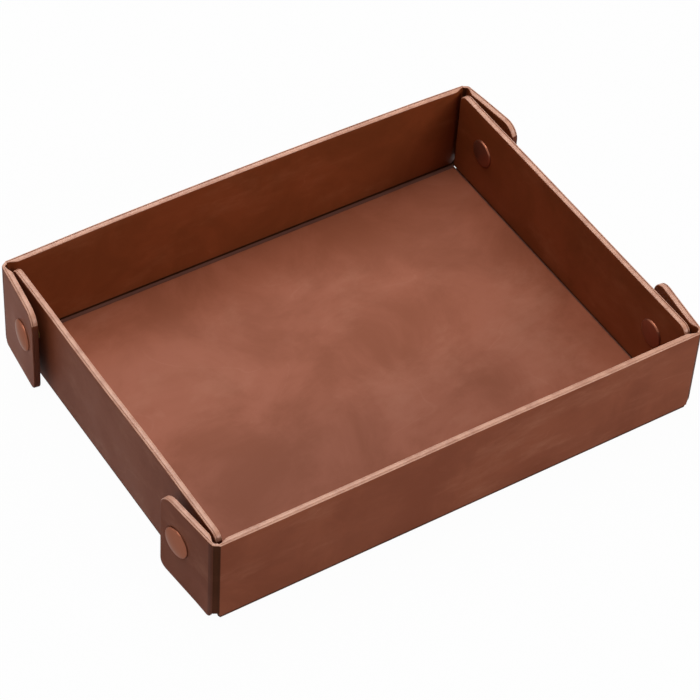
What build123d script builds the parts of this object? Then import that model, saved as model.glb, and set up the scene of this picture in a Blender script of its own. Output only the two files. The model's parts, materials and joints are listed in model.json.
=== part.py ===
from build123d import *
import os
from math import cos, radians, sin

# Snap-corner leather valet tray, in millimetres.
# +X runs along the long walls, +Y from the front wall to the back wall, +Z up from the table.
# The origin is on the table, under the middle of the floor.

# Overall sizes
tray_length = 250.0  # between the outer faces of the corner creases
tray_width = 190.0  # between the outer faces of the front and back walls
tray_height = 49.0  # from the table to the rim

# Laminated panel: leather outside, stiff board, leather lining inside
skin_thickness = 0.9
board_thickness = 1.5
lining_thickness = 0.8
panel_thickness = skin_thickness + board_thickness + lining_thickness
edge_rounding = 0.5  # on the pressed and painted free edges

# Creases, where the two leathers run on without the board
crease_thickness = 1.4
crease_recess = 0.3  # a corner crease is pressed in by this much
crease_gap = 0.8  # from a crease's axis to the board
tab_play = 0.2  # from a corner crease to the tab's leather
hinge_height = 3.4  # height of the walls' fold lines
gutter_width = 3.0  # sunken strip between the floor board and a long wall
end_gutter_width = 0.8  # and between it and an end wall
gutter_depth = 0.8  # from the floor's lining down to either strip
corner_crease_bottom = 4.5
long_crease_setback = 0.8  # the long floor creases stop this far short of the corner creases
end_crease_setback = 2.0  # the short ones stop this far inside their walls' side edges

# End walls, which stand inside the tabs
corner_gap = 0.5  # from a corner crease's axis to the end wall's outer face
side_gap = 1.5  # from an end wall's side edge to the long wall
end_corner_radius = 5.0

# Tabs, the folded ends of the long walls
fold_limit = 86.0  # degrees, where a folded wall comes to lie on its press-stud caps
tab_flare = 6.5  # degrees that a closed tab stands off the end wall
tab_length = 35.5
tab_bottom = 0.8  # at the crease
tab_foot_rise = 2.2  # from there to the free end, so that the tab clears the table as it opens
tab_top_radius = 8.0
tab_bottom_radius = 4.0
tab_relief = 2.5  # cut off the tab's corner at the foot of its crease, to clear the table while it folds

# Press studs: a cap riveted through the tab into the socket, and an inner cap riveted through the wall into the stud
snap_along = 23.3  # along the tab from its crease
snap_height = 27.9
cap_radius = 7.5
cap_dome = 1.6
cap_rim = 0.5
inner_cap_radius = 7.0
inner_cap_dome = 1.3
cap_barrel_radius = 1.8
inner_cap_barrel_radius = 1.5
inner_cap_barrel_reach = 1.1  # into the stud
barrel_clearance = 0.05
punch_clearance = 0.1
rivet_head_radius = 2.6
rivet_head_thickness = 0.25
socket_radius = 5.4
socket_height = 2.1
socket_base = 0.35
socket_lip = 0.4
socket_mouth_radius = 3.7
socket_groove_radius = 4.7
spring_wire_radius = 0.3
spring_ring_radius = 4.2
spring_opening = 40.0  # degrees left open in the ring
spring_clearance = 0.1
stud_engagement = 1.1
stud_flange_radius = 3.6
stud_flange_thickness = 0.4
stud_head_radius = 2.3
stud_neck_radius = 1.9
stud_tip_radius = 1.1
stud_bulge_share = 0.7  # of the stud's height, where its head is widest
stud_neck_share = 0.45  # of the stud's height, where its neck ends
dome_bulge_share = 0.76  # of a cap's dome, reached half way out

# Places that follow from the sizes above
corner_axis_x = tray_length / 2 - panel_thickness
corner_axis_y = tray_width / 2 - panel_thickness
end_outer_x = corner_axis_x - corner_gap
end_inner_x = end_outer_x - panel_thickness
end_half_width = corner_axis_y - side_gap
snap_standoff = corner_gap + snap_along * sin(radians(tab_flare))  # between tab and end wall at the stud
snap_y = corner_axis_y - snap_along * cos(radians(tab_flare)) - socket_height * sin(radians(tab_flare))
stud_height = snap_standoff - socket_height + stud_engagement

layers = {
    "skin": (0, skin_thickness),
    "board": (skin_thickness, board_thickness),
    "lining": (skin_thickness + board_thickness, lining_thickness),
}
corners = {"front_left": (-1, -1), "front_right": (1, -1), "back_left": (-1, 1), "back_right": (1, 1)}

os.makedirs("parts", exist_ok=True)


def finish(piece, name):
    """Labels a finished piece and writes it under its own name."""
    piece.label = name
    export_step(piece, f"parts/{name}.step")


def outward_plane(x, y, heading):
    """An upright plane at (x, y) whose normal points along heading, in degrees, with its own Y axis up."""
    normal = (cos(radians(heading)), sin(radians(heading)), 0)
    across = (-sin(radians(heading)), cos(radians(heading)), 0)
    return Plane(origin=(x, y, 0), x_dir=across, z_dir=normal)


def round_free_edges(wall, layer, plane, is_free):
    """Rounds the edges of a leather's outside face that end in the air; the board has none."""
    if layer == "board":
        return
    faces = wall.faces().sort_by(Axis(plane.origin, plane.z_dir))
    outline = faces[-1 if layer == "skin" else 0].outer_wire()
    free = [edge for edge in outline.edges() if is_free(plane.to_local_coords(edge.center()))]
    fillet(free, edge_rounding)


# Floor
floor_skin_length = 2 * end_inner_x
floor_skin_width = 2 * corner_axis_y
floor_board_length = floor_skin_length - 2 * end_gutter_width
floor_board_width = floor_skin_width - 2 * gutter_width
floor_sizes = {
    "skin": (floor_skin_length, floor_skin_width),
    "board": (floor_board_length, floor_board_width),
    "lining": (floor_board_length, floor_board_width),
}
for layer, (depth, thickness) in layers.items():
    with BuildPart() as floor_layer:
        with BuildSketch(Plane.XY.offset(depth)):
            Rectangle(*floor_sizes[layer])
        extrude(amount=thickness)
        if layer == "lining":
            fillet(floor_layer.faces().sort_by(Axis.Z)[-1].edges(), edge_rounding)
    finish(floor_layer.part, f"floor_{layer}")


def floor_crease(name, plane, arc_length, strip_length, strip_width):
    """The bent leather that joins the floor to a wall, with the sunken strip beside the floor board."""
    with BuildPart() as crease:
        section = Plane(origin=plane.origin, x_dir=-plane.z_dir, z_dir=plane.x_dir)
        with BuildSketch(section.offset(-arc_length / 2)):
            with BuildLine():
                bend = (panel_thickness, hinge_height)
                outer = CenterArc(bend, panel_thickness, 180, 90)
                inner = CenterArc(bend, panel_thickness - crease_thickness, 180, 90)
                Line(outer @ 0, inner @ 0)
                Line(outer @ 1, inner @ 1)
            make_face()
        extrude(amount=arc_length)
        strip_top = panel_thickness - gutter_depth
        with BuildSketch(section.offset(-strip_length / 2)):
            with Locations((panel_thickness, skin_thickness)):
                Rectangle(strip_width, strip_top - skin_thickness, align=(Align.MIN, Align.MIN))
        extrude(amount=strip_length)
    finish(crease.part, name)


long_crease_length = 2 * (corner_axis_x - long_crease_setback)
end_crease_length = 2 * (end_half_width - end_crease_setback)
long_planes = {"front": outward_plane(0, -tray_width / 2, -90), "back": outward_plane(0, tray_width / 2, 90)}
end_planes = {"left": outward_plane(-end_outer_x, 0, 180), "right": outward_plane(end_outer_x, 0, 0)}
for side, plane in long_planes.items():
    floor_crease(f"{side}_crease", plane, long_crease_length, floor_skin_length, gutter_width)
for side, plane in end_planes.items():
    floor_crease(f"{side}_crease", plane, end_crease_length, floor_board_width, end_gutter_width)


# Front and back walls
for side, plane in long_planes.items():
    for layer, (depth, thickness) in layers.items():
        gap = 0 if layer == "skin" else crease_gap
        wall_height = tray_height - hinge_height - gap
        with BuildPart() as wall_layer:
            with BuildSketch(plane.offset(-depth)):
                with Locations((0, tray_height - wall_height / 2)):
                    Rectangle(2 * (corner_axis_x - gap), wall_height)
            extrude(amount=-thickness)
            round_free_edges(wall_layer, layer, plane, lambda middle: middle.Y > tray_height - edge_rounding)
        finish(wall_layer.part, f"{side}_{layer}")


# End walls
for side, plane in end_planes.items():
    for layer, (depth, thickness) in layers.items():
        gap = 0 if layer == "skin" else crease_gap
        wall_height = tray_height - hinge_height - gap
        with BuildPart() as wall_layer:
            with BuildSketch(plane.offset(-depth)) as outline:
                with Locations((0, tray_height - wall_height / 2)):
                    Rectangle(2 * end_half_width, wall_height)
                fillet(outline.vertices().group_by(Axis.Y)[-1], end_corner_radius)
                with Locations((-snap_y, snap_height), (snap_y, snap_height)):
                    Circle(inner_cap_barrel_radius + punch_clearance, mode=Mode.SUBTRACT)
            extrude(amount=-thickness)
            round_free_edges(wall_layer, layer, plane, lambda middle: middle.Y > hinge_height + gap)
        finish(wall_layer.part, f"{side}_{layer}")


def corner_crease(name, axis_x, axis_y, wall_heading, tab_heading):
    """The thin leather that runs round an upright corner, from the long wall to its tab."""
    turn = (tab_heading - wall_heading + 180) % 360 - 180
    with BuildPart() as crease:
        with BuildSketch(Plane.XY.offset(corner_crease_bottom)):
            with BuildLine():
                outer_radius = panel_thickness - crease_recess
                outer = CenterArc((axis_x, axis_y), outer_radius, wall_heading, turn)
                inner = CenterArc((axis_x, axis_y), outer_radius - crease_thickness, wall_heading, turn)
                Line(outer @ 0, inner @ 0)
                Line(outer @ 1, inner @ 1)
            make_face()
        extrude(amount=tray_height - corner_crease_bottom)
    finish(crease.part, name)


def draw_tab(outline, along, start):
    """Draws the tab's upright outline, from its crease to its rounded free end, with the hole for the cap."""
    near_foot = (along * start, tab_bottom, 0)
    far_foot = (along * tab_length, tab_bottom + tab_foot_rise, 0)
    far_top = (along * tab_length, tray_height, 0)
    left, right = sorted((near_foot, far_foot))
    Polygon(left, right, (right[0], tray_height), (left[0], tray_height), align=None)
    chamfer(outline.vertices().sort_by_distance(near_foot)[0], tab_relief)
    fillet(outline.vertices().sort_by_distance(far_foot)[0], tab_bottom_radius)
    fillet(outline.vertices().sort_by_distance(far_top)[0], tab_top_radius)
    with Locations((along * snap_along, snap_height)):
        Circle(cap_barrel_radius + punch_clearance, mode=Mode.SUBTRACT)


def axis_section(plane):
    """The plane through a turned piece's axis, where X is the radius and Y runs along the axis."""
    return Plane(origin=plane.origin, x_dir=plane.x_dir, z_dir=-plane.y_dir)


def domed_cap(name, plane, radius, dome, barrel):
    """A press-stud cap, with its barrel given as the corners of its outline from the cap to the barrel's end."""
    with BuildPart() as cap:
        with BuildSketch(axis_section(plane)):
            with BuildLine():
                chord_middle = (radius / 2, cap_rim + (dome - cap_rim) * dome_bulge_share)
                ThreePointArc((0, dome), chord_middle, (radius, cap_rim))
                Polyline((radius, cap_rim), (radius, 0), *barrel, (0, barrel[-1][1]), (0, dome))
            make_face()
        revolve(axis=Axis(plane.origin, plane.z_dir))
    finish(cap.part, name)


def socket(name, plane):
    """The press stud's socket: a shallow casing with a lip that holds the ring spring."""
    groove_top = socket_height - socket_lip
    with BuildPart() as casing:
        with BuildSketch(axis_section(plane)):
            with BuildLine():
                Polyline(
                    (cap_barrel_radius + barrel_clearance, 0),
                    (socket_radius, 0),
                    (socket_radius, socket_height),
                    (socket_mouth_radius, socket_height),
                    (socket_mouth_radius, groove_top),
                    (socket_groove_radius, groove_top),
                    (socket_groove_radius, socket_base),
                    (cap_barrel_radius + barrel_clearance, socket_base),
                    close=True,
                )
            make_face()
        revolve(axis=Axis(plane.origin, plane.z_dir))
        rim = casing.edges().filter_by(GeomType.CIRCLE).group_by(SortBy.RADIUS)[-1]
        fillet(rim.sort_by(Axis(plane.origin, plane.z_dir))[-1], socket_lip / 2)
    finish(casing.part, name)


def spring_ring(name, plane):
    """The open wire ring under the socket's lip."""
    height = socket_height - socket_lip - spring_wire_radius - spring_clearance
    with BuildPart() as ring:
        with BuildSketch(axis_section(plane)):
            with Locations((spring_ring_radius, height)):
                Circle(spring_wire_radius)
        revolve(axis=Axis(plane.origin, plane.z_dir), revolution_arc=360 - spring_opening)
    finish(ring.part, name)


def stud(name, plane):
    """The stud on the end wall: flange, neck and a rounded head that reaches into the socket."""
    bulge = stud_height * stud_bulge_share
    neck = stud_height * stud_neck_share
    bore = inner_cap_barrel_radius + barrel_clearance
    with BuildPart() as turned:
        with BuildSketch(axis_section(plane)):
            with BuildLine():
                ThreePointArc(
                    (stud_tip_radius, stud_height),
                    (
                        stud_tip_radius + (stud_head_radius - stud_tip_radius) * cos(radians(45)),
                        bulge + (stud_height - bulge) * sin(radians(45)),
                    ),
                    (stud_head_radius, bulge),
                )
                Polyline(
                    (stud_head_radius, bulge),
                    (stud_neck_radius, neck),
                    (stud_neck_radius, stud_flange_thickness),
                    (stud_flange_radius, stud_flange_thickness),
                    (stud_flange_radius, 0),
                    (bore, 0),
                    (bore, inner_cap_barrel_reach + barrel_clearance),
                    (0, inner_cap_barrel_reach + barrel_clearance),
                    (0, stud_height),
                    (stud_tip_radius, stud_height),
                )
            make_face()
        revolve(axis=Axis(plane.origin, plane.z_dir))
    finish(turned.part, name)


rivet_seat = -(panel_thickness + socket_base)
cap_barrel = [
    (cap_barrel_radius, 0),
    (cap_barrel_radius, rivet_seat),
    (rivet_head_radius, rivet_seat),
    (rivet_head_radius, rivet_seat - rivet_head_thickness),
]
inner_cap_barrel = [
    (inner_cap_barrel_radius, 0),
    (inner_cap_barrel_radius, -(panel_thickness + inner_cap_barrel_reach)),
]

# Corner creases, tabs and press studs
for corner, (side_x, side_y) in corners.items():
    axis_x, axis_y = side_x * corner_axis_x, side_y * corner_axis_y
    end_heading = 0 if side_x > 0 else 180
    tab_heading = end_heading + side_x * side_y * tab_flare
    along = -side_x * side_y  # the tab runs this way in its plane
    corner_crease(f"{corner}_crease", axis_x, axis_y, side_y * 90, tab_heading)

    reach_x, reach_y = cos(radians(tab_heading)), sin(radians(tab_heading))
    tab_plane = outward_plane(axis_x + reach_x * panel_thickness, axis_y + reach_y * panel_thickness, tab_heading)
    for layer, (depth, thickness) in layers.items():
        start = tab_play if layer == "skin" else crease_gap
        with BuildPart() as tab_layer:
            with BuildSketch(tab_plane.offset(-depth)) as outline:
                draw_tab(outline, along, start)
            extrude(amount=-thickness)
            round_free_edges(tab_layer, layer, tab_plane, lambda middle: abs(middle.X) > start + edge_rounding)
        finish(tab_layer.part, f"{corner}_tab_{layer}")

    snap_seat = tab_plane.from_local_coords(Vector(along * snap_along, snap_height, 0))
    cap_plane = Plane(origin=snap_seat, x_dir=tab_plane.x_dir, z_dir=tab_plane.z_dir)
    socket_plane = Plane(cap_plane.offset(-panel_thickness).origin, tab_plane.x_dir, -tab_plane.z_dir)
    domed_cap(f"{corner}_cap", cap_plane, cap_radius, cap_dome, cap_barrel)
    socket(f"{corner}_socket", socket_plane)
    spring_ring(f"{corner}_spring", socket_plane)

    stud_plane = outward_plane(side_x * end_outer_x, side_y * snap_y, end_heading)
    stud_plane = Plane(stud_plane.origin + Vector(0, 0, snap_height), stud_plane.x_dir, stud_plane.z_dir)
    inner_seat = stud_plane.offset(-panel_thickness)
    inner_cap_plane = Plane(inner_seat.origin, stud_plane.x_dir, -stud_plane.z_dir)
    stud(f"{corner}_stud", stud_plane)
    domed_cap(f"{corner}_inner_cap", inner_cap_plane, inner_cap_radius, inner_cap_dome, inner_cap_barrel)
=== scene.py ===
# %% [markdown]
# # A snap-corner leather valet tray
# The tray is one laminated sheet, leather outside, stiff board, leather inside, cut to a cross and
# folded up. Press studs hold the folded corner tabs against the end walls. The solids, the joints and
# every size are already in the imported frame, so this lesson only dresses them: each panel becomes three
# thin sheets with soft, painted edges, each crease becomes leather bent round it, and each snap cap gets
# its rolled rim.

# %% Load the imported frame
import json
from dataclasses import dataclass
from math import cos, exp, hypot, pi, radians, sin, sqrt

import bpy
from mathutils import Matrix, Vector, noise


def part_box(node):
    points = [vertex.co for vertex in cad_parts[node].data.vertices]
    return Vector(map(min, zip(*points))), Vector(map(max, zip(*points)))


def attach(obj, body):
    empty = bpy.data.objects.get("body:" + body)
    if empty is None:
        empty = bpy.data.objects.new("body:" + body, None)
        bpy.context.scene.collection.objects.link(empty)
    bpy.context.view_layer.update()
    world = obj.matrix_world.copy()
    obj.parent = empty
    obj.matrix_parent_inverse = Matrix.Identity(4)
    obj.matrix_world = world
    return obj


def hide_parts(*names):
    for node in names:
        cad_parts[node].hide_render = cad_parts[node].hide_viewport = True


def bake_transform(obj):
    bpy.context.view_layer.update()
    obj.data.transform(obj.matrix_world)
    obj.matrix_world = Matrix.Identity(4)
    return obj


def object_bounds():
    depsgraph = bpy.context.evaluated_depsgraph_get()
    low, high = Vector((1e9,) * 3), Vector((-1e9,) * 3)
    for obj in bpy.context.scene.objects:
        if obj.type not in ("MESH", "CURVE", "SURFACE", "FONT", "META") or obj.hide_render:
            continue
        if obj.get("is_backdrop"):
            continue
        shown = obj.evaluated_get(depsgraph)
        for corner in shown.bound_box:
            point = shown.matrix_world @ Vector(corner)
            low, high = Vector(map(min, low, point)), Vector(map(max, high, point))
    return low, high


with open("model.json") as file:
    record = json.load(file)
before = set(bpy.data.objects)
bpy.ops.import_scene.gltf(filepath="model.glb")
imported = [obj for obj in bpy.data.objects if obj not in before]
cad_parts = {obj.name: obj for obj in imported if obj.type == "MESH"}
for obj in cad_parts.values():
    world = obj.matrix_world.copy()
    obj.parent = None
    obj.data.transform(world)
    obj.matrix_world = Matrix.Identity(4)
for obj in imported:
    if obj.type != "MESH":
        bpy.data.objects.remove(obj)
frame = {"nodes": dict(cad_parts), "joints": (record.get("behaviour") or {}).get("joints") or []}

cad_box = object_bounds()

# %% [markdown]
# ## The tray's own sizes
# A piece that is drawn from the frame can't drift away from it, so nothing is measured by eye here.
# The front wall's outer leather gives the corner fold and the rim, and its lining gives the panel's
# thickness. Millimetres are easier to think in than metres for leather, so the shapes below are drawn
# in millimetres and placed in metres.

# %% Read the walls, the end walls and the folds
MM = 0.001


def box_mm(node):
    """A CAD node's lowest and highest corners, in millimetres."""
    low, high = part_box(node)
    return low / MM, high / MM


front_low, front_high = box_mm("front_skin")
lining_low, lining_high = box_mm("front_lining")
rim = front_high.z
fold_height = front_low.z
lining_foot = lining_low.z
wall_outer_y = -front_low.y
fold_x = front_high.x
fold_y = -lining_high.y
panel = wall_outer_y - fold_y
skin = front_high.y - front_low.y
lining = lining_high.y - lining_low.y
print(f"panel {panel:.2f} mm thick, rim at {rim:.1f} mm, folds at {fold_height:.1f} mm")

# %% Read the end walls, the floor and the creases
end_high = box_mm("right_skin")[1]
end_outer_x = end_high.x
end_half_width = end_high.y
end_inner_x = end_outer_x - panel
floor_low, floor_high = box_mm("floor_lining")
floor_skin_low, floor_skin_high = box_mm("floor_skin")
long_crease_half = box_mm("front_crease")[1].x
end_crease_half = box_mm("right_crease")[1].y
corner_foot = box_mm("front_left_crease")[0].z
floor_top = floor_high.z
gutter = fold_y - floor_high.y
end_gutter = end_inner_x - floor_high.x
gutter_depth = 0.8
crease_leather = 1.4  # the thickness of the leather in a floor fold
print(f"end walls {2 * end_half_width:.1f} mm wide, gutters {gutter:.1f} and {end_gutter:.1f} mm wide")

# %% Read the tabs and the press studs
joints = {joint["name"]: joint for joint in frame["joints"]}
fold_travel = radians(joints["front_left_tab_fold"]["range_deg"][1])
tab_flare = pi / 2 - fold_travel
tab_low, tab_high = box_mm("front_left_tab_skin")
tab_bottom = tab_low.z
tab_length = (tab_high.y + fold_y + (panel - skin) * sin(tab_flare)) / cos(tab_flare)
tab_play = 0.04  # between a tab's leather and its fold
socket_low, socket_high = box_mm("front_left_socket")
socket_middle = (socket_low + socket_high) / 2
snap_height = socket_middle.z
tab_way = Vector((-sin(tab_flare), cos(tab_flare), 0))
snap_along = (socket_middle + Vector((fold_x, fold_y, 0))).dot(tab_way)
inner_cap_low, inner_cap_high = box_mm("front_left_inner_cap")
stud_y = -(inner_cap_low.y + inner_cap_high.y) / 2
print(f"tabs {tab_length:.1f} mm long, snaps {snap_along:.1f} mm along and {snap_height:.1f} mm up")

# %% [markdown]
# ## Colours and nodes
# A colour that a maker reads off a swatch is an sRGB value, and a shader works in linear light, so one
# function turns the one into the other. The rest add nodes: any node, a noise, a range, a mix, a sum or
# a bump. That keeps each material down to the few lines that say what it is.

# %% Helpers for materials
def linear(swatch):
    """An sRGB hex swatch such as "#764634" as the linear colour a shader needs."""
    values = [int(swatch[i : i + 2], 16) / 255 for i in (1, 3, 5)]
    return tuple(v / 12.92 if v <= 0.04045 else ((v + 0.055) / 1.055) ** 2.4 for v in values) + (1.0,)


def feed(tree, node, inputs):
    """Feeds a node's inputs from values or from other nodes."""
    for name, value in inputs.items():
        if isinstance(value, bpy.types.NodeSocket):
            tree.links.new(value, node.inputs[name])
        else:
            node.inputs[name].default_value = value


def add_node(tree, kind, inputs=None, **settings):
    """Adds a node, applies its settings, and feeds its inputs."""
    node = tree.nodes.new(kind)
    for name, value in settings.items():
        setattr(node, name, value)
    feed(tree, node, inputs or {})
    return node


def new_material(name):
    """An empty material, with its tree and its shader."""
    material = bpy.data.materials.new(name)
    material.use_nodes = True
    tree = material.node_tree
    return material, tree, tree.nodes["Principled BSDF"]


def noise_field(tree, place, size, **more):
    """Soft noise from 0 to 1, whose patches are about size across, in metres."""
    inputs = {"Vector": place, "Scale": 1 / size, **more}
    return add_node(tree, "ShaderNodeTexNoise", inputs).outputs["Fac"]


def ranged(tree, value, low, high, to_low=0.0, to_high=1.0, smooth=False):
    """Stretches what lies between low and high over to_low to to_high, and clips the rest."""
    inputs = {"Value": value, "From Min": low, "From Max": high, "To Min": to_low, "To Max": to_high}
    curve = "SMOOTHSTEP" if smooth else "LINEAR"
    return add_node(tree, "ShaderNodeMapRange", inputs, interpolation_type=curve).outputs["Result"]


def mixed(tree, share, first, second):
    """Two colours, mixed. A Mix node has sockets for several types, and 6, 7 and 2 are the colours."""
    inputs = {"Factor": share, 6: first, 7: second}
    return add_node(tree, "ShaderNodeMix", inputs, data_type="RGBA").outputs[2]


def maths(tree, operation, *values):
    """One step of arithmetic on values or on what other nodes give."""
    return add_node(tree, "ShaderNodeMath", dict(enumerate(values)), operation=operation).outputs[0]


def embossed(tree, height, strength, depth, **more):
    """A bump that raises the surface by up to depth, in metres."""
    inputs = {"Height": height, "Strength": strength, "Distance": depth, **more}
    return add_node(tree, "ShaderNodeBump", inputs).outputs["Normal"]


print("white in linear light:", linear("#ffffff")[:3])

# %% [markdown]
# ## Waxed pull-up leather
# The outside and the lining are pull-up leather: dyed through, waxed, and polished by hand. The wax
# moves when the leather bends, which leaves soft clouds, paler drifts and a few hair-fine rub marks,
# and it gives a satin sheen rather than a gloss. The clouds are tens of millimetres across. The pores
# are really about 0.3 mm apart, too fine for this picture, so they are drawn at 0.9 mm.
#
# The floor is the same lining leather as the inner walls, but its colour is paler, which is painted
# light and sheen, and its wax shines a little more. The lining on the inner walls is a touch darker than
# the hide's own colour, which is painted shade. The gutters are a greyer brown. The folds are a much
# darker brown, which is painted shade in the creases, and their wax shines hardly at all.

# %% Make the leathers
cloud_size = 48 * MM
drift_size = 26 * MM
drift_stretch = (2.4, 1.6, 0.8)  # the drifts and the rub marks run long from side to side
rub_mark_size = 34 * MM
rub_mark_width = 0.006  # how near the noise's middle value a rub mark's line lies
rub_mark_share = 0.22  # how much of the pale colour shows in it
grain_size = 3.2 * MM
grain_depth = 0.12 * MM
pore_size = 0.9 * MM
pore_depth = 0.05 * MM
polish_swing = 0.06  # how far the clouds move the roughness either way
leather_ior = 1.5


def pull_up_leather(name, deep, middle, pale, polish, drift_amount, wax):
    """Leather with clouds of wax, pale drifts, rub marks, grain and pores; wax is how much it shines."""
    material, tree, shader = new_material(name)
    place = add_node(tree, "ShaderNodeTexCoord").outputs["Object"]
    clouds = noise_field(tree, place, cloud_size, Detail=6, Roughness=0.62, Distortion=0.5)
    body = mixed(tree, ranged(tree, clouds, 0.34, 0.66, smooth=True), linear(deep), linear(middle))

    stretched = add_node(
        tree, "ShaderNodeMapping", {"Vector": place, "Scale": drift_stretch}, vector_type="TEXTURE"
    ).outputs["Vector"]
    drifts = noise_field(tree, stretched, drift_size, Detail=7, Roughness=0.66)
    drift = ranged(tree, drifts, 0.5, 0.78, to_high=drift_amount, smooth=True)
    waxed = mixed(tree, drift, body, linear(pale))

    rubs = noise_field(tree, stretched, rub_mark_size, Detail=1.5, Distortion=1.2)
    off_line = maths(tree, "ABSOLUTE", maths(tree, "SUBTRACT", rubs, 0.5))
    line = ranged(tree, off_line, 0.0, rub_mark_width, to_low=1.0, to_high=0.0)
    patch = ranged(tree, clouds, 0.52, 0.62, to_high=rub_mark_share)
    rubbed = mixed(tree, maths(tree, "MULTIPLY", line, patch), waxed, linear(pale))

    sheen = ranged(tree, clouds, 0.3, 0.7, polish + polish_swing, polish - polish_swing)
    pores = add_node(tree, "ShaderNodeTexVoronoi", {"Vector": place, "Scale": 1 / pore_size})
    fine = embossed(tree, pores.outputs["Distance"], 0.12, pore_depth)
    grain = noise_field(tree, place, grain_size, Detail=4, Roughness=0.6)
    feed(
        tree,
        shader,
        {
            "Base Color": rubbed,
            "Roughness": sheen,
            "IOR": leather_ior,
            "Specular IOR Level": wax,
            "Normal": embossed(tree, grain, 0.25, grain_depth, Normal=fine),
        },
    )
    return material


# Name, three colours from deep to pale, roughness, share of pale drifts, and shine of the wax.
outer_leather = pull_up_leather("waxed_outer_leather", "#7d3f26", "#8a482c", "#a66a50", 0.6, 0.62, 0.14)
# The lining is a touch darker than the hide's own colour, which is painted shade on the inner walls.
lining_leather = pull_up_leather("waxed_lining_leather", "#75391b", "#854122", "#9b5b3c", 0.5, 0.5, 0.12)
# The floor is the same lining leather, paler, which is painted light and sheen on the floor.
floor_leather = pull_up_leather("floor_leather_painted_sheen", "#8b4e36", "#9d5b43", "#af725a", 0.48, 0.5, 0.15)
# The fold leather is a much darker brown, which is painted shade in the creases.
fold_leather = pull_up_leather("fold_leather_painted_shade", "#47230f", "#542b18", "#6b3b28", 0.6, 0.3, 0.06)
gutter_leather = pull_up_leather("dulled_gutter_leather", "#5e3a30", "#6a4438", "#775246", 0.6, 0.4, 0.2)
# The half burnished leather is real burnish on the upright edges, the floor's edge and in the seam, and
# painted shade beside the folds' darkest part and on the tabs next to them.
worn_and_shade_leather = pull_up_leather("half_burnished_and_shaded_leather", "#643220", "#703a26", "#87513c", 0.6, 0.4, 0.1)
print("leathers:", outer_leather.name, lining_leather.name, floor_leather.name, fold_leather.name)

# %% [markdown]
# ## Edge paint
# The cut edges show leather, board and leather. Along the rims they are sealed with a tan acrylic edge
# paint, brushed on and dried to a satin skin. It is a good deal paler than the leather and slightly
# uneven, since it soaks in more where the board is open. The paint ends where a rounded corner turns
# down. Below that the upright edges are only burnished, which leaves them brown.

# %% Make the edge paint
soak_size = 7 * MM
brush_size = 3 * MM
brush_depth = 0.08 * MM


def acrylic_edge_paint(name, thin_coat, full_coat):
    """Satin acrylic paint, a little darker where it has soaked in."""
    material, tree, shader = new_material(name)
    place = add_node(tree, "ShaderNodeTexCoord").outputs["Object"]
    soak = noise_field(tree, place, soak_size, Detail=5, Roughness=0.6)
    coat = ranged(tree, soak, 0.32, 0.62, smooth=True)
    brush = noise_field(tree, place, brush_size, Detail=0)
    feed(
        tree,
        shader,
        {
            "Base Color": mixed(tree, coat, linear(thin_coat), linear(full_coat)),
            "Roughness": 0.36,
            "IOR": 1.48,
            "Normal": embossed(tree, brush, 0.05, brush_depth),
        },
    )
    return material


edge_paint = acrylic_edge_paint("tan_acrylic_edge_paint", "#b77f66", "#cd977d")
print("edge paint:", edge_paint.name)

# %% [markdown]
# ## Snap metals
# The caps are pressed brass under a thin brown enamel that is baked on and lets the brass show through.
# So they are metal for three parts, a bronze brown reflection, and pigment for one part, which keeps
# them brown where they mirror something dark. The working parts behind them are bare: antique brass for
# the socket and the stud, and spring steel for the ring. Bare metal takes its colour from its
# reflection alone, so metallic is 1 for those.

# %% Make the enamel and the bare metals
orange_peel_size = 1.6 * MM
orange_peel_depth = 0.03 * MM
tarnish_size = 2 * MM
tarnish_swing = 0.08  # how far tarnish moves the roughness either way


def stoved_enamel(name, swatch):
    """Baked half see-through enamel on brass: mostly a brown reflection, partly brown pigment."""
    material, tree, shader = new_material(name)
    place = add_node(tree, "ShaderNodeTexCoord").outputs["Object"]
    orange_peel = noise_field(tree, place, orange_peel_size, Detail=2)
    feed(
        tree,
        shader,
        {
            "Base Color": linear(swatch),
            "Metallic": 0.75,
            "Specular IOR Level": 0.15,
            "Specular Tint": linear("#d0bfb8"),
            "Roughness": 0.32,
            "Normal": embossed(tree, orange_peel, 0.1, orange_peel_depth),
        },
    )
    return material


def bare_metal(name, swatch, roughness):
    """Uncoated metal, with a roughness that wanders as its tarnish does."""
    material, tree, shader = new_material(name)
    place = add_node(tree, "ShaderNodeTexCoord").outputs["Object"]
    tarnish = noise_field(tree, place, tarnish_size, Detail=4)
    uneven = ranged(tree, tarnish, 0.0, 1.0, roughness - tarnish_swing, roughness + tarnish_swing)
    feed(tree, shader, {"Base Color": linear(swatch), "Metallic": 1.0, "Roughness": uneven})
    return material


cap_enamel = stoved_enamel("bronze_stoved_enamel", "#905843")
snap_brass = bare_metal("antique_brass", "#b08d4f", 0.34)
spring_steel = bare_metal("drawn_spring_steel", "#b9b9b4", 0.26)
print("metals:", cap_enamel.name, snap_brass.name, spring_steel.name)

# %% [markdown]
# ## A sheet with soft edges
# A cut piece of leather is a flat sheet whose edges round over under the edge paint. It could be a
# bevelled cube, but a bevel gives every edge the same look, and here an edge that ends in the air is
# rounded and painted while an edge that runs on into a crease is not. So the sheet is drawn as a grid
# whose rows and columns crowd together at its edges, and each point sinks by how near its edge it is.
# A second grid is its back, and a strip joins the two. A function that is handed in says where a
# point of the flat sheet goes, so the same grid serves a wall, a tab or leather bent round a corner.

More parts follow.
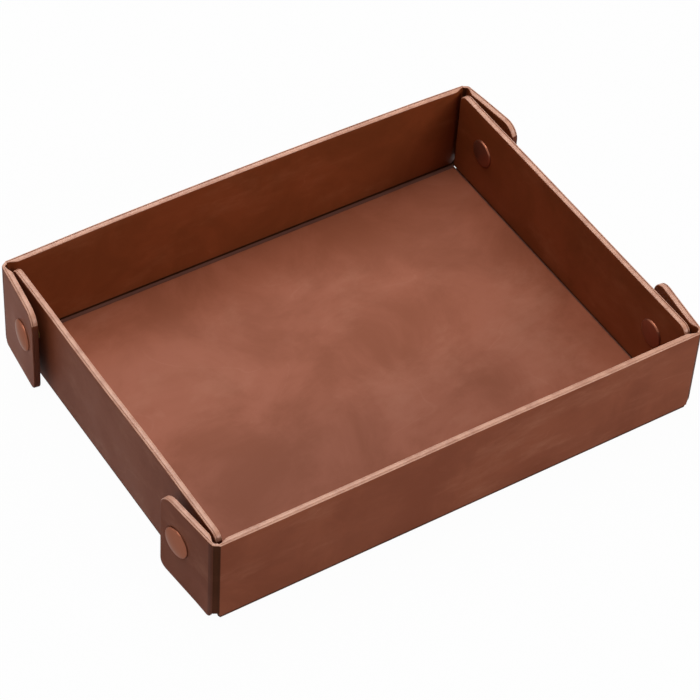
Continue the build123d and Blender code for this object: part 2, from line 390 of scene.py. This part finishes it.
# %% The sheet's outline and how its edges round over
@dataclass
class Cut:
    """The outline of a flat sheet, its corner radii, and which of its sides end in the air."""

    left: float
    right: float
    bottom: float
    top: float
    left_bottom: float = 0.0
    right_bottom: float = 0.0
    left_top: float = 0.0
    right_top: float = 0.0
    fine: float = 0.0  # how far in from a crease the sheet needs more columns
    foot_slope: float = 0.0  # how fast its foot rises away from u = 0
    free: tuple = ("left", "right", "bottom", "top")

    def foot(self, u):
        """The height of the sheet's foot at u."""
        return self.bottom + self.foot_slope * abs(u)


free_rounding = 0.6  # where an edge ends in the air and is bevelled
seam_rounding = 0.28  # where the outer leather meets the board, the seam that shows in a cut edge
glue_rounding = 0.08  # where two layers are glued
crease_rounding = 0.05  # where a sheet runs on into a crease


def rounded_off(distance, rounding):
    """How far a face has sunk at this distance from an edge."""
    if distance >= rounding:
        return 0.0
    return rounding - sqrt(max(0.0, rounding**2 - (rounding - distance) ** 2))


def nearest_edges(cut, u, v):
    """The distance from a point to each side of a cut, and to each rounded corner it is near."""
    near = [
        ("left", u - cut.left),
        ("right", cut.right - u),
        ("bottom", v - cut.foot(u)),
        ("top", cut.top - v),
    ]
    for side, x, foot, y, radius in (
        ("left", u - cut.left, "bottom", v - cut.foot(u), cut.left_bottom),
        ("right", cut.right - u, "bottom", v - cut.foot(u), cut.right_bottom),
        ("left", u - cut.left, "top", cut.top - v, cut.left_top),
        ("right", cut.right - u, "top", cut.top - v, cut.right_top),
    ):
        if x < radius and y < radius:
            near.append((side if side in cut.free else foot, radius - hypot(radius - x, radius - y)))
    return near


def sunk(cut, u, v, rounding, only_free=False):
    """How far a point of the sheet's face sinks, for the sides it is near."""
    depths = [0.0]
    for side, distance in nearest_edges(cut, u, v):
        if side in cut.free:
            depths.append(rounded_off(distance, rounding))
        elif not only_free:
            depths.append(rounded_off(distance, min(rounding, crease_rounding)))
    return max(depths)


print("free edges round over by", free_rounding, "mm")

# %% The grid's columns and rows
least_step = 0.012  # a column or row that is nearer to the last one than this is left out


def crowded(start, end, radii_at_start, radii_at_end, spacing):
    """Places from start to end that crowd together where either end rounds off."""
    quarter = [1 - cos(radians(angle)) for angle in range(0, 91, 15)]
    first = {start + radius * q for radius in radii_at_start for q in quarter}
    last = {end - radius * q for radius in radii_at_end for q in quarter}
    between = (max(first), min(last))
    count = max(1, round((between[1] - between[0]) / spacing))
    middle = {between[0] + (between[1] - between[0]) * i / count for i in range(1, count)}
    places = []
    for place in sorted(first | middle | last):
        if not places or place - places[-1] > least_step:
            places.append(place)
    places[-1] = end
    return places


def grid_of(cut, rounding, spacing):
    """The flat sheet's points, column by column, each column from the bottom edge to the top edge."""
    radii_left = (rounding, cut.left_bottom, cut.left_top, 0 if "left" in cut.free else cut.fine)
    radii_right = (rounding, cut.right_bottom, cut.right_top, 0 if "right" in cut.free else cut.fine)
    columns = crowded(cut.left, cut.right, radii_left, radii_right, spacing)
    rows = crowded(cut.bottom, cut.top, (rounding,), (rounding,), spacing)
    grid = []
    for u in columns:
        low, high = cut.foot(u), cut.top
        for x, bottom_radius, top_radius in (
            (u - cut.left, cut.left_bottom, cut.left_top),
            (cut.right - u, cut.right_bottom, cut.right_top),
        ):
            low += rounded_off(x, bottom_radius)
            high -= rounded_off(x, top_radius)
        stretch = (high - low - 2 * rounding) / (cut.top - cut.bottom - 2 * rounding)
        column = []
        for v in rows:
            if v - cut.bottom <= rounding:
                column.append((u, low + v - cut.bottom))
            elif cut.top - v <= rounding:
                column.append((u, high - cut.top + v))
            else:
                column.append((u, low + rounding + (v - cut.bottom - rounding) * stretch))
        grid.append(column)
    return grid


print("columns along a 33 mm tab:", len(grid_of(Cut(0, 33, 0, 46), free_rounding, 2.0)))

# %% The sheet itself
LEATHER, PAINT, WORN_AND_SHADE = range(3)  # a sheet's materials, in the order that its faces count them
painted_share = 0.65  # of a top corner's radius, how far down from the rim the edge paint reaches
painted_sink = 0.12  # of the rounding, how far a face has sunk where the paint begins
sharp_angle = radians(40)


def put_in_scene(name, mesh):
    """Shades a mesh smooth but for its sharp edges, and puts it in the scene."""
    mesh.validate()
    mesh.shade_smooth()
    mesh.set_sharp_from_angle(angle=sharp_angle)
    piece = bpy.data.objects.new(name, mesh)
    bpy.context.scene.collection.objects.link(piece)
    return piece


def sheet(name, cut, face, back, place, leather, paint, face_rounding, back_rounding, spacing):
    """A leather sheet between the depths face and back, as a closed mesh, with its free edges painted.

    Edge paint stays near the rim. Further down a free edge is only burnished.
    """
    grid = grid_of(cut, free_rounding, spacing)
    columns, rows = len(grid), len(grid[0])
    points, at_edge, heights = [], [], []
    for depth, rounding, way in ((face, face_rounding, 1), (back, back_rounding, -1)):
        for column in grid:
            for u, v in column:
                points.append(place(u, v, depth + way * sunk(cut, u, v, rounding)))
                at_edge.append(sunk(cut, u, v, free_rounding, only_free=True))
                heights.append(v)
    loop = [(i, 0) for i in range(columns)]
    loop += [(columns - 1, j) for j in range(1, rows)]
    loop += [(i, rows - 1) for i in range(columns - 2, -1, -1)]
    loop += [(0, j) for j in range(rows - 2, 0, -1)]
    count = columns * rows
    faces = []
    for i in range(columns - 1):
        for j in range(rows - 1):
            a, b = i * rows + j, (i + 1) * rows + j
            faces.append((a, b, b + 1, a + 1))
            faces.append((count + a, count + a + 1, count + b + 1, count + b))
    for (i, j), (k, m) in zip(loop, loop[1:] + loop[:1]):
        a, b = i * rows + j, k * rows + m
        faces.append((a, count + a, count + b, b))
    mesh = bpy.data.meshes.new(name)
    mesh.from_pydata(points, [], faces)
    for material in (leather, paint, worn_and_shade_leather):
        mesh.materials.append(material)
    painted_from = cut.top - painted_share * max(cut.left_top, cut.right_top, free_rounding)
    for polygon in mesh.polygons:
        depth = sum(at_edge[v] for v in polygon.vertices) / len(polygon.vertices)
        on_rim = max(heights[v] for v in polygon.vertices) > painted_from
        if depth > free_rounding * painted_sink:
            polygon.material_index = PAINT if on_rim or paint is not edge_paint else WORN_AND_SHADE
    return put_in_scene(name, mesh)


print("sheets are drawn as two grids and a strip")

# %% [markdown]
# ## Where the panels stand
# Each panel lies in an upright plane. Hand work leaves it slightly wavy: the board warps by a few
# tenths of a millimetre, and the leather is pressed down round each snap. Both are real shape, so they
# move points rather than shade them. The wave dies out at the creases, where the panels have to meet.
# The back wall also bows outward, by about 2 mm at the middle of its rim. Towards a corner fold the
# board and the lining are skived, pared down thin, so that the rim tapers into the fold's single
# thickness of leather.

# %% Planes for the panels, with a slight wave
wave_height = 0.35
wave_length = 62.0
still_length = 25  # over which the wave dies out towards a wall's ends and foot
still_tab_length = 12  # the same, towards a tab's fold
bow_height = 2 * rim  # the height at which a bow would reach its full size
snap_radius = 7.5
press_depth = 0.22  # how far the leather is pressed in round a snap
press_width = 1.3  # how wide that pressed ring is
press_below = 0.3  # how much of it goes on into the board and the lining
calm_widths = 8  # the wave is still up to the ring, and grows back over this many of its widths
skive_length = 5.0  # how far from a corner fold the panel starts to thin
skive_end = 0.4  # nearer to the fold than this, it is thinnest
skived_share = 0.26  # of the board and the lining, what is left of their thickness at the fold


def fade(value, start, end):
    """0 before start, 1 after end, and smooth between."""
    t = min(1.0, max(0.0, (value - start) / (end - start)))
    return t * t * (3 - 2 * t)


def thinned(depth, from_fold):
    """A depth in the panel, where the board and the lining are skived down towards a corner fold."""
    if depth <= skin:
        return depth
    left = skived_share + (1 - skived_share) * fade(from_fold, skive_end, skive_length)
    return skin + (depth - skin) * left


def upright(x, y, heading, keep_still, snaps, from_fold=lambda u: skive_length, bow=0.0):
    """Places points on an upright plane through (x, y) that faces heading, in radians.

    A wall with a bow leans out towards the middle of its rim. Its ends and its foot stay in place.
    """
    out = Vector((cos(heading), sin(heading), 0))
    across = Vector((-sin(heading), cos(heading), 0))
    origin = Vector((x, y, 0))

    def place(u, v, depth):
        spot = origin + across * u + Vector((0, 0, v))
        wave = wave_height * noise.noise(spot / wave_length) * keep_still(u, v)
        wave += bow * max(0.0, 1 - (u / fold_x) ** 2) * fade(v, fold_height, bow_height)
        for snap_u, snap_v in snaps:
            ring = (hypot(u - snap_u, v - snap_v) - snap_radius) / press_width
            near = exp(-ring * ring)
            share = 1 if depth < skin else press_below
            wave = wave * fade(ring, 0, calm_widths) - press_depth * near * share
        return (spot + out * (wave - thinned(depth, from_fold(u)))) * MM

    return place


def still_at_ends(half, foot):
    """A wave that dies out towards both ends of a wall and towards its foot."""
    return lambda u, v: fade(half - abs(u), 0, still_length) * fade(v, foot, foot + still_length)


def still_at_foot(foot):
    """A wave that dies out towards a wall's foot."""
    return lambda u, v: fade(v, foot, foot + still_length)


def still_at_fold(u, v):
    """A wave that dies out towards a tab's fold."""
    return fade(abs(u), 0, still_tab_length)


layers = {"skin": (0.0, skin), "board": (skin, panel - lining), "lining": (panel - lining, panel)}
print("layers, in mm below the outer face:", layers)

# %% [markdown]
# ## The panels
# Each panel's three layers are three pieces, as on the real tray, and each stands for its CAD node and
# rides on its body. The outer leather runs right up to its crease. The board stops short of it, which
# is what lets the leather fold, and the lining's turned foot hangs just clear of the gutter. The brush
# doesn't reach into the seam between the outer leather and the board, so the leather's side of it stays
# bare and shows as a fine line in the rim. A tab's foot rises a little towards its free end.

# %% Build a panel from its three layers
leathers = {"skin": outer_leather, "board": edge_paint, "lining": lining_leather}
seam_lean = 0.35  # how far a face of the rounded rim has to lean towards the seam to lie in it


def leave_seam_bare(piece, seam_way):
    """Takes the paint off the leather's side of the seam, where the brush doesn't reach."""
    for polygon in piece.data.polygons:
        if polygon.material_index == PAINT and polygon.normal.dot(seam_way) > seam_lean:
            polygon.material_index = WORN_AND_SHADE


def build_panel(label, body, place, cut_of, out, spacing=3.0):
    """Outer leather, board and lining, which ride on one body. The leather's face looks out."""
    for layer, (face, back) in layers.items():
        node = f"{label}_{layer}"
        face_rounding = {"skin": free_rounding, "board": seam_rounding, "lining": glue_rounding}[layer]
        back_rounding = {"skin": seam_rounding, "board": glue_rounding, "lining": free_rounding}[layer]
        piece = sheet(
            f"{node}_leather" if layer != "board" else f"{node}_edge",
            cut_of(layer),
            face,
            back,
            place,
            leathers[layer],
            edge_paint,
            face_rounding,
            back_rounding,
            spacing,
        )
        if layer == "skin":
            leave_seam_bare(piece, -out)
        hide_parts(node)
        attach(piece, body)


back_bow = 4.0  # how far the middle of the back wall would lean out at twice its height
fold_gap = 0.12  # from a corner fold to the thinned board and lining
lining_rise = lining_foot - fold_height
lining_drop = 0.5  # how far the lining's turned foot hangs below the fold's axis
foot_rise = {"skin": 0.0, "board": lining_rise, "lining": -lining_drop}


def long_wall_cut(layer):
    """A long wall: free only along the rim."""
    gap, rise = 0 if layer == "skin" else fold_gap, foot_rise[layer]
    return Cut(-fold_x + gap, fold_x - gap, fold_height + rise, rim, fine=skive_length, free=("top",))


for side, sign, bow in (("front", -1, 0), ("back", 1, back_bow)):
    still = still_at_ends(fold_x, fold_height)
    place = upright(0, sign * wall_outer_y, sign * pi / 2, still, [], lambda u: fold_x - abs(u), bow)
    build_panel(side, f"{side}_wall", place, long_wall_cut, Vector((0, sign, 0)))
print("long walls are", round(2 * fold_x, 1), "mm long")

# %% Build the end walls
end_corner_radius = 5.0


def end_wall_cut(layer):
    """An end wall: free at both sides and along the rim, with rounded top corners."""
    return Cut(
        -end_half_width,
        end_half_width,
        fold_height + foot_rise[layer],
        rim,
        left_top=end_corner_radius,
        right_top=end_corner_radius,
        free=("left", "right", "top"),
    )


for side, sign in (("left", -1), ("right", 1)):
    heading = 0 if sign > 0 else pi
    snaps = [(-stud_y, snap_height), (stud_y, snap_height)]
    place = upright(sign * end_outer_x, 0, heading, still_at_foot(fold_height), snaps)
    build_panel(side, f"{side}_end", place, end_wall_cut, Vector((sign, 0, 0)))
print("end walls stand", round(fold_x - end_outer_x, 2), "mm inside the corner folds")

# %% Build the tabs
tab_top_radius = 8.0
tab_bottom_radius = 4.0
tab_foot_rise = 2.2  # how much higher a tab's foot is at its free end than at its fold
tab_foot_slope = tab_foot_rise / tab_length
tab_relief = 2.5  # the radius of a tab's lower corner next to its fold
corners = [(front, left) for front in ("front", "back") for left in ("left", "right")]
corner_signs = {"front": -1, "back": 1, "left": -1, "right": 1}


def tab_heading(side, end):
    """The way a closed tab's outer face looks, in radians."""
    straight = 0 if end == "right" else pi
    return straight + corner_signs[side] * corner_signs[end] * tab_flare


def tab_frame(side, end):
    """The corner fold's place, the tab's outward way, and which way along its plane the tab runs."""
    fold = Vector((corner_signs[end] * fold_x, corner_signs[side] * fold_y, 0))
    heading = tab_heading(side, end)
    out = Vector((cos(heading), sin(heading), 0))
    return fold, out, -corner_signs[side] * corner_signs[end]


for side, end in corners:
    fold, out, along = tab_frame(side, end)
    face = fold + out * panel

    def tab_cut(layer):
        """A tab: free everywhere but at its fold, with a well rounded top corner and a rising foot."""
        foot = tab_bottom - tab_foot_slope * tab_relief
        if along > 0:
            return Cut(
                tab_play,
                tab_length,
                foot,
                rim,
                left_bottom=tab_relief,
                right_bottom=tab_bottom_radius,
                right_top=tab_top_radius,
                fine=skive_length,
                foot_slope=tab_foot_slope,
                free=("right", "bottom", "top"),
            )
        return Cut(
            -tab_length,
            -tab_play,
            foot,
            rim,
            left_bottom=tab_bottom_radius,
            right_bottom=tab_relief,
            left_top=tab_top_radius,
            fine=skive_length,
            foot_slope=tab_foot_slope,
            free=("left", "bottom", "top"),
        )

    snaps = [(along * snap_along, snap_height)]
    place = upright(face.x, face.y, tab_heading(side, end), still_at_fold, snaps, abs)
    build_panel(f"{side}_{end}_tab", f"{side}_{end}_tab", place, tab_cut, out, spacing=1.6)
print("tabs:", len(corners))

# %% [markdown]
# ## The floor
# The floor's board and lining stop short of the walls and leave a sunken gutter all round, wide along
# the long walls and a hairline along the end walls. The lining's edge is burnished, not painted. The
# floor's underside is the outer leather again, and it lies on the table, so it stays flat.

# %% Build the floor's layers
floor_wave = 0.12
floor_corner_radius = 1.0


def floor_place(u, v, depth):
    """Places a point of the floor, where depth is measured down from its top."""
    lift = floor_wave * noise.noise(Vector((u, v, 0)) / wave_length) if depth < lining else 0
    return Vector((u, v, floor_top - depth + lift)) * MM


def floor_cut(layer):
    """The floor's layers: the leather below reaches the walls, and the two above leave the gutter."""
    if layer == "skin":
        return Cut(floor_skin_low.x, floor_skin_high.x, floor_skin_low.y, floor_skin_high.y, free=())
    radii = [floor_corner_radius] * 4
    return Cut(floor_low.x, floor_high.x, floor_low.y, floor_high.y, *radii)


floor_leathers = {"lining": floor_leather, "board": floor_leather, "skin": outer_leather}
for layer, (under, over) in layers.items():  # here the outer leather lies at the bottom
    piece = sheet(
        f"floor_{layer}_leather",
        floor_cut(layer),
        floor_top - over,
        floor_top - under,
        floor_place,
        floor_leathers[layer],
        worn_and_shade_leather if layer == "lining" else floor_leathers[layer],
        free_rounding if layer == "lining" else glue_rounding,
        glue_rounding,
        spacing=6.0,
    )
    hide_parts(f"floor_{layer}")
    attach(piece, "base")
print("floor top at", round(floor_top, 2), "mm")

# %% [markdown]
# ## The creases along the floor
# Along each wall's foot the board is left out and the leather bends a quarter turn. The bend is drawn
# as a quarter pipe round the fold's axis, in its resting place, and baked there. It is not made to
# follow the wall when the wall folds down.
# The sunken gutter beside it lies flat on the floor's leather and stays there.

# %% Build the floor creases
strip_top = floor_top - gutter_depth


def bend_place(origin, out, across):
    """Places leather bent round a floor fold: v is 0 under the floor and grows up to the wall's face."""

    def place(u, v, depth):
        turn = pi / 2 - v / panel
        radius = panel - depth
        spot = origin + across * u + (out * cos(turn) - Vector((0, 0, 1)) * sin(turn)) * radius
        return spot * MM

    return place


bend_length = panel * pi / 2
bend_rounding = 0.2  # where a floor fold's leather ends in the air
# Each bend is dressed in the dark fold leather, which is painted shade along the wall's foot.
for side, body, fold, reach, half in (
    ("front", "front_wall", Vector((0, -fold_y, fold_height)), (0, -1), long_crease_half),
    ("back", "back_wall", Vector((0, fold_y, fold_height)), (0, 1), long_crease_half),
    ("left", "left_end", Vector((-end_inner_x, 0, fold_height)), (-1, 0), end_crease_half),
    ("right", "right_end", Vector((end_inner_x, 0, fold_height)), (1, 0), end_crease_half),
):
    out = Vector((*reach, 0))
    across = Vector((-out.y, out.x, 0))
    bend = sheet(
        f"{side}_crease_leather",
        Cut(-half, half, 0, bend_length, free=("left", "right")),
        0,
        crease_leather,
        bend_place(fold, out, across),
        fold_leather,
        fold_leather,
        bend_rounding,
        glue_rounding,
        spacing=1.0,
    )
    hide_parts(f"{side}_crease")
    under = (fold - Vector((0, 0, panel))) * MM
    face = (fold + out * panel) * MM
    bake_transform(bend)
    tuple(under)
print("floor creases bend", round(bend_length, 1), "mm of leather")

# %% Build the gutters
def gutter_place(inner, out, across):
    """Places the flat strip beside a floor fold: v is 0 at the fold and grows towards the floor."""
    return lambda u, v, depth: (inner + across * u - out * v + Vector((0, 0, strip_top - depth))) * MM


foot_clearance = 0.1  # left for the lining's foot, which swings in when a long wall folds down
gutter_edge = fold_y - lining_drop - foot_clearance
for side, inner, reach, half, width in (
    ("front", Vector((0, -gutter_edge, 0)), (0, -1), floor_skin_high.x, gutter_edge - floor_high.y),
    ("back", Vector((0, gutter_edge, 0)), (0, 1), floor_skin_high.x, gutter_edge - floor_high.y),
    ("left", Vector((-end_inner_x, 0, 0)), (-1, 0), floor_high.y, end_gutter),
    ("right", Vector((end_inner_x, 0, 0)), (1, 0), floor_high.y, end_gutter),
):
    out = Vector((*reach, 0))
    across = Vector((out.y, -out.x, 0))
    strip = sheet(
        f"{side}_gutter_leather",
        Cut(-half, half, 0, width, free=()),
        0,
        strip_top - skin,
        gutter_place(inner, out, across),
        gutter_leather,
        gutter_leather,
        glue_rounding,
        glue_rounding,
        spacing=2.0,
    )
    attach(strip, "base")
print("gutters sink", round(floor_top - strip_top, 2), "mm below the floor")

# %% [markdown]
# ## The corner folds
# Round each upright corner only thin leather is left. It is pressed in beside the long wall's board,
# and runs out smoothly towards the tab. It is darkest where it is pressed in most, which is painted
# shade in the groove, and a narrow strip of the tab beside it is darker too, which is painted shade as
# well. The fold's top edge is painted like the rim. It bends between the long wall and the tab in the
# same way as the floor's creases.

# %% Build the corner folds
corner_leather = skin + (panel - skin) * skived_share
groove_depth = 0.55
groove_width = 1.7
darkest_press = 0.45  # from this share of the groove's depth on, the fold gets its darkest painted shade
shade_reach = 1.6  # how far on to the tab the painted shade beside the fold runs
fold_back_rounding = 0.3  # on the inner side of the fold's top edge


def pressed(from_wall):
    """How far the fold is pressed in, from 0 to 1, at this distance round it from the long wall."""
    off_groove = (from_wall - groove_width) / groove_width
    return exp(-off_groove * off_groove)


def shade_fold_groove(bend, fold, wall_way):
    """Paints shade into a fold: darkest where it is pressed in, where shade falls in the groove, lighter
    beside that.
    """
    for polygon in bend.data.polygons:
        if polygon.material_index == LEATHER:
            spot = polygon.center / MM - fold
            press = pressed(wall_way.angle(Vector((spot.x, spot.y, 0))) * panel)
            if press < darkest_press:
                polygon.material_index = WORN_AND_SHADE


def shade_beside_fold(skin_piece, fold, tab_way):
    """Paints shade on the tab's leather next to the fold, where the fold's shade runs on to it."""
    for polygon in skin_piece.data.polygons:
        from_fold = (polygon.center / MM - fold).dot(tab_way)
        if polygon.material_index == LEATHER and from_fold < shade_reach:
            polygon.material_index = WORN_AND_SHADE


def corner_place(fold, start_heading, turn, wall_first):
    """Places leather bent round an upright fold, which is pressed in most near the long wall's side."""

    def place(u, v, depth):
        heading = start_heading + u / panel
        from_wall = u if wall_first else turn * panel - u
        groove = groove_depth * pressed(from_wall) * fade(from_wall, 0, groove_width / 2)
        reach = Vector((cos(heading), sin(heading), 0)) * (panel - groove - depth)
        return (fold + reach + Vector((0, 0, v))) * MM

    return place


for side, end in corners:
    fold, out, along = tab_frame(side, end)
    wall_heading = corner_signs[side] * pi / 2
    swing = (tab_heading(side, end) - wall_heading + pi) % (2 * pi) - pi
    start_heading = wall_heading + min(0, swing)
    bend = sheet(
        f"{side}_{end}_corner_leather",
        Cut(0, abs(swing) * panel, corner_foot, rim, free=("top", "bottom")),
        0,
        corner_leather,
        corner_place(fold, start_heading, abs(swing), swing > 0),
        fold_leather,
        edge_paint,
        free_rounding,
        fold_back_rounding,
        spacing=0.35,
    )
    shade_fold_groove(bend, fold, Vector((0, corner_signs[side], 0)))
    tab_skin = bpy.data.objects[f"{side}_{end}_tab_skin_leather"]
    shade_beside_fold(tab_skin, fold, Vector((-out.y, out.x, 0)) * along)
    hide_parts(f"{side}_{end}_crease")
    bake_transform(bend)
print("corner folds:", len(corners))

# %% [markdown]
# ## The snap caps
# A snap cap is a pressed disc with a rolled rim, turned round one axis, so one outline spun round that
# axis makes it. Its barrel goes through the leather and is spread over the socket, as in the solids.

# %% Turn the caps from an outline
turn_steps = 72
roll = 1.0  # the radius of a cap's rolled rim
dome_steps = 12
dome_power = 2.2  # a little flatter in the middle than a sphere


def cap_outline(radius, dome, height):
    """Points (radius, height) from a cap's top to its foot: a low dome, then the rolled rim."""
    shoulder = radius - roll
    over = []
    for i in range(dome_steps):
        left = 1 - (i / dome_steps) ** dome_power
        over.append((shoulder * i / dome_steps, height + (dome - height) * left))
    angles = [radians(angle) for angle in range(0, 91, 15)]
    rim_roll = [(shoulder + roll * sin(a), height - roll + roll * cos(a)) for a in angles]
    return over + rim_roll + [(radius, 0.0)]


def turned(name, outline, seat, facing, material):
    """A closed solid turned round an axis through seat, with the outline's height along facing."""
    facing = facing.normalized()
    across = Vector((0, 0, 1)).cross(facing).normalized()
    up = facing.cross(across)
    points = [seat + facing * outline[0][1]]
    faces = []
    for radius, height in outline[1:-1]:
        for step in range(turn_steps):
            a = 2 * pi * step / turn_steps
            points.append(seat + facing * height + (across * cos(a) + up * sin(a)) * radius)
    points.append(seat + facing * outline[-1][1])
    rings = len(outline) - 2
    for step in range(turn_steps):
        following = (step + 1) % turn_steps
        faces.append((0, 1 + step, 1 + following))
        for ring in range(rings - 1):
            low, high = 1 + ring * turn_steps, 1 + (ring + 1) * turn_steps
            faces.append((low + step, high + step, high + following, low + following))
        last = 1 + (rings - 1) * turn_steps
        faces.append((last + step, len(points) - 1, last + following))
    mesh = bpy.data.meshes.new(name)
    mesh.from_pydata([p * MM for p in points], [], faces)
    mesh.materials.append(material)
    return put_in_scene(name, mesh)


outer_cap = cap_outline(radius=7.5, dome=1.85, height=1.05)
inner_cap = cap_outline(radius=7.0, dome=1.6, height=1.0)
cap_barrel, cap_head = 1.8, 2.6  # the radii of an outer cap's barrel and of its spread head
inner_barrel, inner_reach = 1.5, 1.1  # an inner cap's barrel: its radius, and how far it comes through
socket_floor, head_thickness = 0.35, 0.25
head_seat = -(panel + socket_floor)
outer_stem = [
    (cap_barrel, 0.0),
    (cap_barrel, head_seat),
    (cap_head, head_seat),
    (cap_head, head_seat - head_thickness),
    (0.0, head_seat - head_thickness),
]
inner_stem = [(inner_barrel, 0.0), (inner_barrel, -panel - inner_reach), (0.0, -panel - inner_reach)]
for side, end in corners:
    fold, out, along = tab_frame(side, end)
    across = Vector((-out.y, out.x, 0))
    seat = fold + out * panel + across * along * snap_along + Vector((0, 0, snap_height))
    cap = turned(f"{side}_{end}_enamelled_cap", outer_cap + outer_stem, seat, out, cap_enamel)
    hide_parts(f"{side}_{end}_cap")
    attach(cap, f"{side}_{end}_tab")
    sign_x, sign_y = corner_signs[end], corner_signs[side]
    seat = Vector((sign_x * end_inner_x, sign_y * stud_y, snap_height))
    facing = Vector((-sign_x, 0, 0))
    name = f"{side}_{end}_enamelled_inner_cap"
    inner = turned(name, inner_cap + inner_stem, seat, facing, cap_enamel)
    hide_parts(f"{side}_{end}_inner_cap")
    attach(inner, f"{end}_end")
print("caps:", 2 * len(corners))

# %% Give the working parts their metals
for side, end in corners:
    for part, metal in (("socket", snap_brass), ("stud", snap_brass), ("spring", spring_steel)):
        materials = frame["nodes"][f"{side}_{end}_{part}"].data.materials
        materials.clear()
        materials.append(metal)
print("sockets, studs and springs keep their CAD shape")

# %% [markdown]
# ## A white table
# The tray stands on a plain white sheet. The sheet is seen as white by the camera and by shiny things,
# and still catches a soft shadow, so its colour comes from two shaders: plain white paper, and plain
# white light that only those rays see.

# %% Lay the white sheet and light the room evenly
paper_glow = 0.975  # how much of the sheet is white light for those rays; the rest keeps the shadow
room_light = 0.1  # how bright the room is for all other rays
table_half = 4  # half the side of the sheet, in metres


def seen_rays(tree):
    """1 for the rays that see the background: from the camera, a shiny surface or clear glass."""
    ray = add_node(tree, "ShaderNodeLightPath").outputs
    seen = maths(tree, "MAXIMUM", ray["Is Camera Ray"], ray["Is Glossy Ray"])
    return maths(tree, "MAXIMUM", seen, ray["Is Transmission Ray"])


def white_paper():
    """White paper that looks white to the camera and keeps a soft shadow."""
    material, tree, shader = new_material("white_paper")
    feed(tree, shader, {"Base Color": linear("#cccccc"), "Roughness": 0.9})
    share = maths(tree, "MULTIPLY", seen_rays(tree), paper_glow)
    glow = add_node(tree, "ShaderNodeEmission", {"Color": linear("#ffffff"), "Strength": 1.0})
    both = add_node(tree, "ShaderNodeMixShader", {0: share, 1: shader.outputs[0], 2: glow.outputs[0]})
    feed(tree, tree.nodes["Material Output"], {"Surface": both.outputs[0]})
    return material


table_mesh = bpy.data.meshes.new("white_table")
table_corners = [(x * table_half, y * table_half, 0) for x, y in ((-1, -1), (1, -1), (1, 1), (-1, 1))]
table_mesh.from_pydata(table_corners, [], [(0, 1, 2, 3)])
table_mesh.materials.append(white_paper())
table = bpy.data.objects.new("white_table", table_mesh)
bpy.context.scene.collection.objects.link(table)
table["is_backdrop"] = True

world = bpy.data.worlds.new("white_room")
bpy.context.scene.world = world
world.use_nodes = True
room = world.node_tree
room_level = ranged(room, seen_rays(room), 0.0, 1.0, room_light, 1.0)
feed(room, room.nodes["Background"], {"Color": linear("#ffffff"), "Strength": room_level})
print("table and room are white")

# %% [markdown]
# ## Soft studio light
# Four soft lights do the work. One hangs above and lights everything evenly. One stands high behind
# the tray to the right, where the floor and the rims mirror it, and gives them their pale sheen. One
# stands in front to the right and lights the front wall and the rims' front edges. A weak one on the
# left keeps the left end from going dark.

# %% Hang the lights
def soft_light(name, place, aim, width, height, watts):
    """A rectangular soft light at place, turned towards aim, in metres."""
    lamp = bpy.data.lights.new(name, "AREA")
    lamp.shape = "RECTANGLE"
    lamp.size, lamp.size_y = width, height
    lamp.energy = watts
    stand = bpy.data.objects.new(name, lamp)
    stand.location = place
    stand.rotation_euler = (Vector(aim) - Vector(place)).to_track_quat("-Z", "Y").to_euler()
    bpy.context.scene.collection.objects.link(stand)


floor_middle, wall_middle = (0, 0, 0), (0, 0, 0.03)
soft_light("soft_light_above", (-0.16, 0.12, 1.0), floor_middle, width=0.7, height=0.5, watts=5.1)
soft_light("soft_light_behind", (0.22, 0.62, 0.85), floor_middle, width=0.6, height=0.4, watts=3.4)
soft_light("soft_light_front", (0.56, -1.05, 0.62), wall_middle, width=0.9, height=0.2, watts=7.0)
soft_light("soft_light_left", (-1.0, 0.8, 0.4), wall_middle, width=0.4, height=0.3, watts=0.7)
print("lights:", len(bpy.data.lights))

# %% [markdown]
# ## The camera
# The view is from above the front left corner, from about 1.3 m away through a long lens, which is why
# the far wall is nearly as long as the near one. The camera is rolled by a few degrees.

# %% Set up the camera
camera_place = Vector((-0.5104, -0.7375, 0.9494))
camera_aim = Vector((-0.0016, -0.0043, 0.0200))
camera_roll = radians(3.8)
camera_lens = 147.8  # mm, on a 36 mm wide picture

lens = bpy.data.cameras.new("camera")
lens.lens = camera_lens
lens.sensor_width = 36.0
lens.sensor_fit = "HORIZONTAL"
lens.clip_start, lens.clip_end = 0.05, 20
camera = bpy.data.objects.new("camera", lens)
turn = (camera_aim - camera_place).to_track_quat("-Z", "Y").to_matrix().to_4x4()
camera.matrix_world = Matrix.Translation(camera_place) @ turn @ Matrix.Rotation(camera_roll, 4, "Z")
bpy.context.scene.collection.objects.link(camera)
bpy.context.scene.camera = camera
bpy.context.scene.view_settings.view_transform = "Standard"
print("camera stands", round((camera_aim - camera_place).length, 3), "m away")

# %% [markdown]
# ## Finish
# Both boxes, the solids' and the dressed tray's, are gathered side by side, and the dressed tray's size is
# printed in millimetres. The dressed tray has to stay the size of the solids.

# %% Gather the sizes and finish
size = {"cad": [list(corner) for corner in cad_box], "visual": [list(corner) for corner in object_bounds()]}
print("size in mm:", [round((b - a) / MM, 1) for a, b in zip(*size["visual"])])
